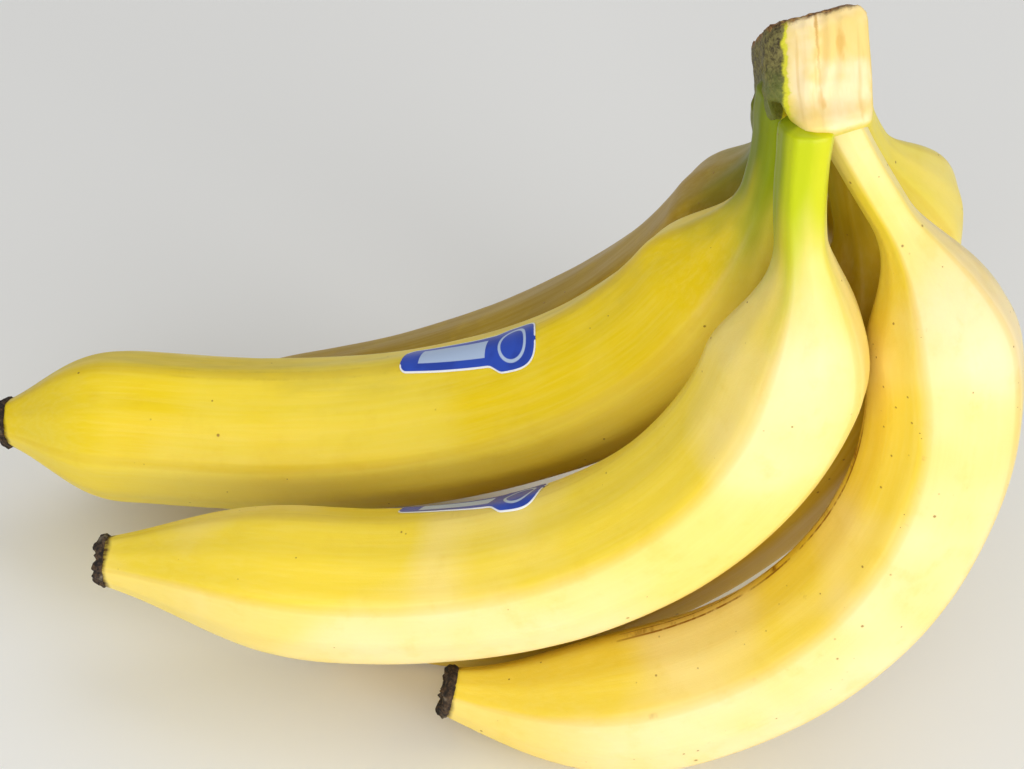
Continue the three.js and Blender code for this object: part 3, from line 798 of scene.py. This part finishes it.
def crownMaterial():
    material, tree, shader = newMaterial("cutCrown")
    local = named(tree, "crownPlace", 1)
    face, skin = named(tree, "frontFace", 2), named(tree, "oldSkin", 2)
    x, y, z = parts(tree, local)
    fine = noise(tree, local, 420.0, 5.0, 0.65)
    speck = noise(tree, local, 1500.0, 3.0, 0.6)
    color, streak = cutFaceColor(tree, local, x, z, fine)
    # yellow green rind at the sides, old bark on the left, dried brown at the top
    rind = blendColor(tree, ramp(tree, fine, 0.35, 0.7), crownLook["rindYellow"], crownLook["rindGreen"])
    faceEdge = calc(tree, "ADD", face, wobble(tree, fine, 0.5), clamp=True)
    body = blendColor(tree, faceEdge, rind, color)
    barkNoise = calc(tree, "MULTIPLY_ADD", speck, 0.5, times(tree, fine, 0.5))
    bark = ramp(tree, barkNoise, 0.40, 0.60)
    bark = blendColor(tree, bark, crownLook["barkDark"], crownLook["barkPale"])
    low = calc(tree, "ADD", wobble(tree, fine, 0.016), z)
    bark = blendColor(tree, ramp(tree, low, 0.006, -0.006, 0.0, 0.75), bark, crownLook["barkGreen"])
    edge = calc(tree, "ADD", skin, wobble(tree, fine, 0.9), clamp=True)
    body = blendColor(tree, ramp(tree, edge, 0.25, 0.4, 0.0, 0.9), body, crownLook["rindEdge"])
    body = blendColor(tree, ramp(tree, edge, 0.5, 0.75), body, bark)
    overTop = calc(tree, "MULTIPLY_ADD", x, -math.tan(math.radians(crown["topSlope"])), z)
    overTop = calc(tree, "ADD", wobble(tree, fine, 0.003), overTop)
    dried = ramp(tree, speck, 0.4, 0.65)
    dried = blendColor(tree, dried, crownLook["driedDark"], crownLook["driedPale"])
    body = blendColor(tree, ramp(tree, overTop, *crownLook["driedHeights"]), body, dried)
    tree.links.new(body, shader.inputs["Base Color"])
    tree.links.new(ramp(tree, fine, 0.3, 0.7, 0.55, 0.8), shader.inputs["Roughness"])
    grit = times(tree, times(tree, speck, skin), 2.0)
    height = calc(tree, "ADD", times(tree, streak, 0.6), grit)
    addBump(tree, shader, height, 0.5, 0.0005)
    addSubsurface(shader, 0.15, (1.0, 0.8, 0.4), 0.002)
    return material


world, faces, layers = buildCrown()
crownPiece = meshFrom("crown_cushion", world, faces, crownMaterial(), layers)
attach(crownPiece, "root")
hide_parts("crown")
print("crown made")

# The dry blossom ends: a short ragged drum on each tip. Sizes are shares of its radius.
blossom = {
    "length": 0.0026, "start": -0.0006, "radius": 0.0064, "columns": 72, "levels": 26,
    "shape": ((0, 0.80), (0.1, 0.93), (0.25, 1.03), (0.45, 1.06), (0.7, 1.0), (0.9, 0.95), (1.0, 0.86)),
    "foot": (0, 0.3, 0.6),
    "face": (0.9, 0.75, 0.55, 0.35, 0.15, 0),
    "faceHollow": 0.16,
    "lobes": ((3, 0.03), (5, 0.03), (9, 0.035), (14, 0.03), (23, 0.02)),  # waves round it and their height
    "rim": ((4, 0.10), (7, 0.10), (12, 0.08), (19, 0.06)),
    "grain": 0.00012, "grainScale": 700,
    "dark": tint(24, 17, 12), "brown": tint(92, 70, 48), "grey": tint(150, 138, 118),
}


def blossomMaterial():
    material, tree, shader = newMaterial("dryBlossom")
    local = put(tree, "ShaderNodeTexCoord", out=3)
    fine = noise(tree, local, 900.0, 5.0, 0.7)
    broad = noise(tree, local, 260.0, 3.0)
    color = blendColor(tree, ramp(tree, fine, 0.40, 0.68), blossom["dark"], blossom["brown"])
    color = blendColor(tree, ramp(tree, broad, 0.56, 0.72, 0.0, 0.55), color, blossom["grey"])
    tree.links.new(color, shader.inputs["Base Color"])
    shader.inputs["Roughness"].default_value = 0.92
    addBump(tree, shader, fine, 0.9, 0.0006)
    return material


def ripples(angle, waves, random):
    return sum(np.sin(angle * n + random.uniform(0, math.tau)) * height for n, height in waves)


def buildBlossom(name, number, material):
    place, along, inside, across = (paths[name][key][-1] for key in ("place", "along", "inside", "across"))
    angle = np.arange(blossom["columns"]) / blossom["columns"] * math.tau
    outs = np.linspace(0, 1, blossom["levels"])
    shapeOuts, shapeSizes = zip(*blossom["shape"])
    side = list(zip(outs, np.interp(outs, shapeOuts, shapeSizes)))
    foot = [(0, k) for k in blossom["foot"]]
    face = [(1 - blossom["faceHollow"] * (1 - k), shapeSizes[-1] * k) for k in blossom["face"]]
    rings = foot + side + face
    random = np.random.default_rng(40 + number)
    lobes = ripples(angle, blossom["lobes"], random)
    rim = ripples(angle, blossom["rim"], random)
    points = []
    for out, size in rings:
        radius = blossom["radius"] * size * (1 + bunch["ridge"] * np.cos(5 * angle) + lobes * out)
        ragged = out * (1 + rim * out * min(1, size * 1.3))
        far = blossom["start"] + (blossom["length"] - blossom["start"]) * ragged
        ring = np.outer(radius * np.cos(angle), inside) + np.outer(radius * np.sin(angle), across)
        points.append(place + ring + np.outer(far, along))
    points = np.concatenate(points)
    grain = [wave(points, blossom["grainScale"], 60 + number * 3 + k) for k in range(3)]
    points += blossom["grain"] * np.stack(grain, axis=1)
    points[:, 2] = np.maximum(points[:, 2], 0.0)
    faces = gridFaces(len(rings), blossom["columns"])
    item = meshFrom(f"{name}_blossom", points, faces, material)
    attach(item, "root")
    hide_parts(f"blossom_end_{name[-1]}")


blossomLook = blossomMaterial()
for number, name in enumerate(fingers):
    buildBlossom(name, number, blossomLook)
print("blossom ends made")

# The paper labels: a wide round head on a narrower shank, laid on the skin.
label = {
    "length": 0.046, "headWidth": 0.0148, "shankWidth": 0.0105, "headLength": 0.017, "neckLength": 0.005,
    "headPower": 4,      # 2 would make the head's end round, and more makes it squarer
    "cornerRound": 0.0025,
    "thickness": 0.00018, "lift": 0.00006, "rim": 0.00005, "columns": 90, "rows": 25,
    "ringAt": 0.0145, "ringInner": (0.0040, 0.0043), "ringOuter": (0.0052, 0.0049),
    "bandAt": -0.006, "bandWidth": (0.0028, 0.0026), "bandLength": (0.0112, 0.0110),
    "edgeWidth": (0.00055, 0.00040),
    "blue": tint(24, 62, 168), "paleBlue": tint(30, 72, 184), "mark": tint(176, 196, 226),
    "edge": tint(238, 240, 244),
}
labels = {
    "sticker_1": {"finger": "banana_3", "along": 0.421, "around": 0, "turn": 8},
    "sticker_2": {"finger": "banana_2", "along": 0.568, "around": 19, "turn": 8},
}


def labelHalfWidth(distance):
    wide = smooth((distance - (label["length"] - label["headLength"])) / label["neckLength"])
    half = (label["shankWidth"] + (label["headWidth"] - label["shankWidth"]) * wide) / 2
    headRound = label["headLength"] - label["neckLength"]
    intoCorner = max(0, 1 - distance / label["cornerRound"])
    intoHead = max(0, 1 - (label["length"] - distance) / headRound)
    corner = half - label["cornerRound"] * (1 - math.sqrt(1 - intoCorner ** 2))
    return corner * math.sqrt(max(0, 1 - intoHead ** label["headPower"]))


def labelMaterial():
    material, tree, shader = newMaterial("labelPaper")
    place, fromEdge = named(tree, "labelPlace", 1), named(tree, "fromEdge", 2)
    x, y = parts(tree, place)[:2]
    cloud = ramp(tree, noise(tree, place, 120.0, 2.0), 0.4, 0.6)
    blue = blendColor(tree, cloud, label["blue"], label["paleBlue"])
    xInRing = calc(tree, "ADD", x, -label["ringAt"])
    squares = calc(tree, "ADD", calc(tree, "POWER", xInRing, 2.0), calc(tree, "POWER", y, 2.0))
    ring = calc(tree, "SQRT", squares)
    circle = times(tree, ramp(tree, ring, *label["ringInner"]), ramp(tree, ring, *label["ringOuter"]))
    xInBand = calc(tree, "ABSOLUTE", calc(tree, "ADD", x, -label["bandAt"]))
    band = ramp(tree, calc(tree, "ABSOLUTE", y), *label["bandWidth"])
    band = times(tree, band, ramp(tree, xInBand, *label["bandLength"]))
    color = blendColor(tree, calc(tree, "MAXIMUM", circle, band), blue, label["mark"])
    color = blendColor(tree, ramp(tree, fromEdge, *label["edgeWidth"]), color, label["edge"])
    tree.links.new(color, shader.inputs["Base Color"])
    shader.inputs["Roughness"].default_value = 0.38
    addBump(tree, shader, noise(tree, place, 3000.0, 2.0), 0.12, 0.0002)
    return material


def pathAt(path, s):
    def mixed(key):
        return np.array([np.interp(s, path["run"], path[key][:, axis]) for axis in range(3)])
    return mixed("place"), mixed("inside"), mixed("across"), np.interp(s, path["run"], path["girth"])


def labelFaces(columns, rows):
    upper = columns * rows  # where the upper side's points start
    faces = []
    for i in range(columns - 1):
        for k in range(rows - 1):
            a = i * rows + k
            faces.append((a, a + rows, a + rows + 1, a + 1))
            b = a + upper
            faces.append((b, b + 1, b + rows + 1, b + rows))
    border = [i * rows for i in range(columns)] + [(columns - 1) * rows + k for k in range(1, rows)]
    border += [i * rows + rows - 1 for i in range(columns - 2, -1, -1)] + list(range(rows - 2, 0, -1))
    for a, b in zip(border, border[1:] + border[:1]):
        faces.append((a, b, b + upper, a + upper))
    return faces


def buildLabel(name, entry, material):
    path, finger = paths[entry["finger"]], fingers[entry["finger"]]
    mesh = made[entry["finger"]].data
    skin = BVHTree.FromPolygons([v.co[:] for v in mesh.vertices], [p.vertices[:] for p in mesh.polygons])
    middle = finger["neck"] + bunch["length"] * finger["long"] * entry["along"]
    turn, around = math.radians(entry["turn"]), math.radians(entry["around"])
    shares = (1 - np.cos(np.linspace(0, math.pi, label["columns"]))) / 2
    distances = label["rim"] + (label["length"] - 2 * label["rim"]) * shares
    outline = [(d, labelHalfWidth(d)) for d in distances]
    edge = np.array([[d, side * half] for d, half in outline for side in (-1, 1)])
    above = 0.01  # how far over the skin each point starts down from
    lower, upper, place, fromEdge = [], [], [], []
    for distance, half in outline:
        for k in range(label["rows"]):
            wide = half * (2 * k / (label["rows"] - 1) - 1)
            out = distance - label["length"] / 2
            s = middle - out * math.cos(turn) - wide * math.sin(turn)
            centre, inside, across, girth = pathAt(path, s)
            angle = around + (wide * math.cos(turn) - out * math.sin(turn)) / girth
            way = inside * math.cos(angle) + across * math.sin(angle)
            hit = skin.ray_cast(Vector(centre + way * (girth + above)), Vector(-way))[0]
            hit = np.array(hit)
            lower.append(hit + way * label["lift"])
            upper.append(hit + way * (label["lift"] + label["thickness"]))
            place.append([out, wide, 0])
            fromEdge.append(np.hypot(edge[:, 0] - distance, edge[:, 1] - wide).min())
    layers = {"labelPlace": np.array(place + place), "fromEdge": np.array(fromEdge + fromEdge)}
    faces = labelFaces(label["columns"], label["rows"])
    item = meshFrom(f"{name}_paper", np.array(lower + upper), faces, material, layers)
    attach(item, "root")
    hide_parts(name)


labelLook = labelMaterial()
for name, entry in labels.items():
    buildLabel(name, entry, labelLook)
print("labels laid on")

# The floor, the lights and the camera.
floor = {"half": 6, "below": 0.0002, "color": tint(246, 246, 244), "roughness": 0.7}
lights = {
    "key": {"at": (0.95, -1.05, 0.30), "size": 0.8, "power": 11, "color": (1.0, 0.985, 0.96)},
    "front": {"at": (-0.25, -1.30, 0.55), "size": 0.9, "power": 7.5, "color": (1.0, 1.0, 1.0)},
    "top": {"at": (0.3, 0.5, 1.3), "size": 1.0, "power": 3, "color": (1.0, 1.0, 1.0)},
}
lightsTarget = (0, 0, 0.08)
skyStrength = 0.48
camera = {
    "elevation": 37.65, "roll": 6.82, "distance": 0.75, "target": (0.00743, -0.02380, 0.07967),
    "lens": 105.47, "sensor": 36,  # in millimetres
    "clipStart": 0.01, "clipEnd": 50,
}


def buildFloor():
    half, low = floor["half"], -floor["below"]
    mesh = bpy.data.meshes.new("floor")
    corners = [(-half, -half, low), (half, -half, low), (half, half, low), (-half, half, low)]
    mesh.from_pydata(corners, [], [(0, 1, 2, 3)])
    material, tree, shader = newMaterial("paleFloor")
    shader.inputs["Base Color"].default_value = floor["color"]
    shader.inputs["Roughness"].default_value = floor["roughness"]
    mesh.materials.append(material)
    newObject("floor", mesh)


def buildLights():
    for name, values in lights.items():
        data = bpy.data.lights.new(name, "AREA")
        data.size, data.energy, data.color = values["size"], values["power"], values["color"]
        item = bpy.data.objects.new(name, data)
        item.location = values["at"]
        toTarget = Vector(lightsTarget) - item.location
        item.rotation_euler = toTarget.to_track_quat("-Z", "Y").to_euler()
        bpy.context.scene.collection.objects.link(item)
    sky = bpy.data.worlds.new("studio")
    sky.use_nodes = True
    background = sky.node_tree.nodes["Background"]
    background.inputs["Color"].default_value = (1.0, 1.0, 1.0, 1.0)
    background.inputs["Strength"].default_value = skyStrength
    bpy.context.scene.world = sky


def buildCamera():
    elevation, roll = math.radians(camera["elevation"]), math.radians(camera["roll"])
    ahead = Vector((0, math.cos(elevation), -math.sin(elevation)))
    level, upright = Vector((1, 0, 0)), Vector((0, math.sin(elevation), math.cos(elevation)))
    right = level * math.cos(roll) + upright * math.sin(roll)
    up = upright * math.cos(roll) - level * math.sin(roll)
    data = bpy.data.cameras.new("camera")
    data.lens, data.sensor_width = camera["lens"], camera["sensor"]
    data.clip_start, data.clip_end = camera["clipStart"], camera["clipEnd"]
    item = bpy.data.objects.new("camera", data)
    turned = Matrix((right, up, -ahead)).transposed().to_4x4()
    item.matrix_world = Matrix.Translation(Vector(camera["target"]) - ahead * camera["distance"]) @ turned
    bpy.context.scene.collection.objects.link(item)
    bpy.context.scene.camera = item


buildFloor()
buildLights()
buildCamera()
bpy.context.scene.view_settings.view_transform = "Standard"

print("lights and camera set")
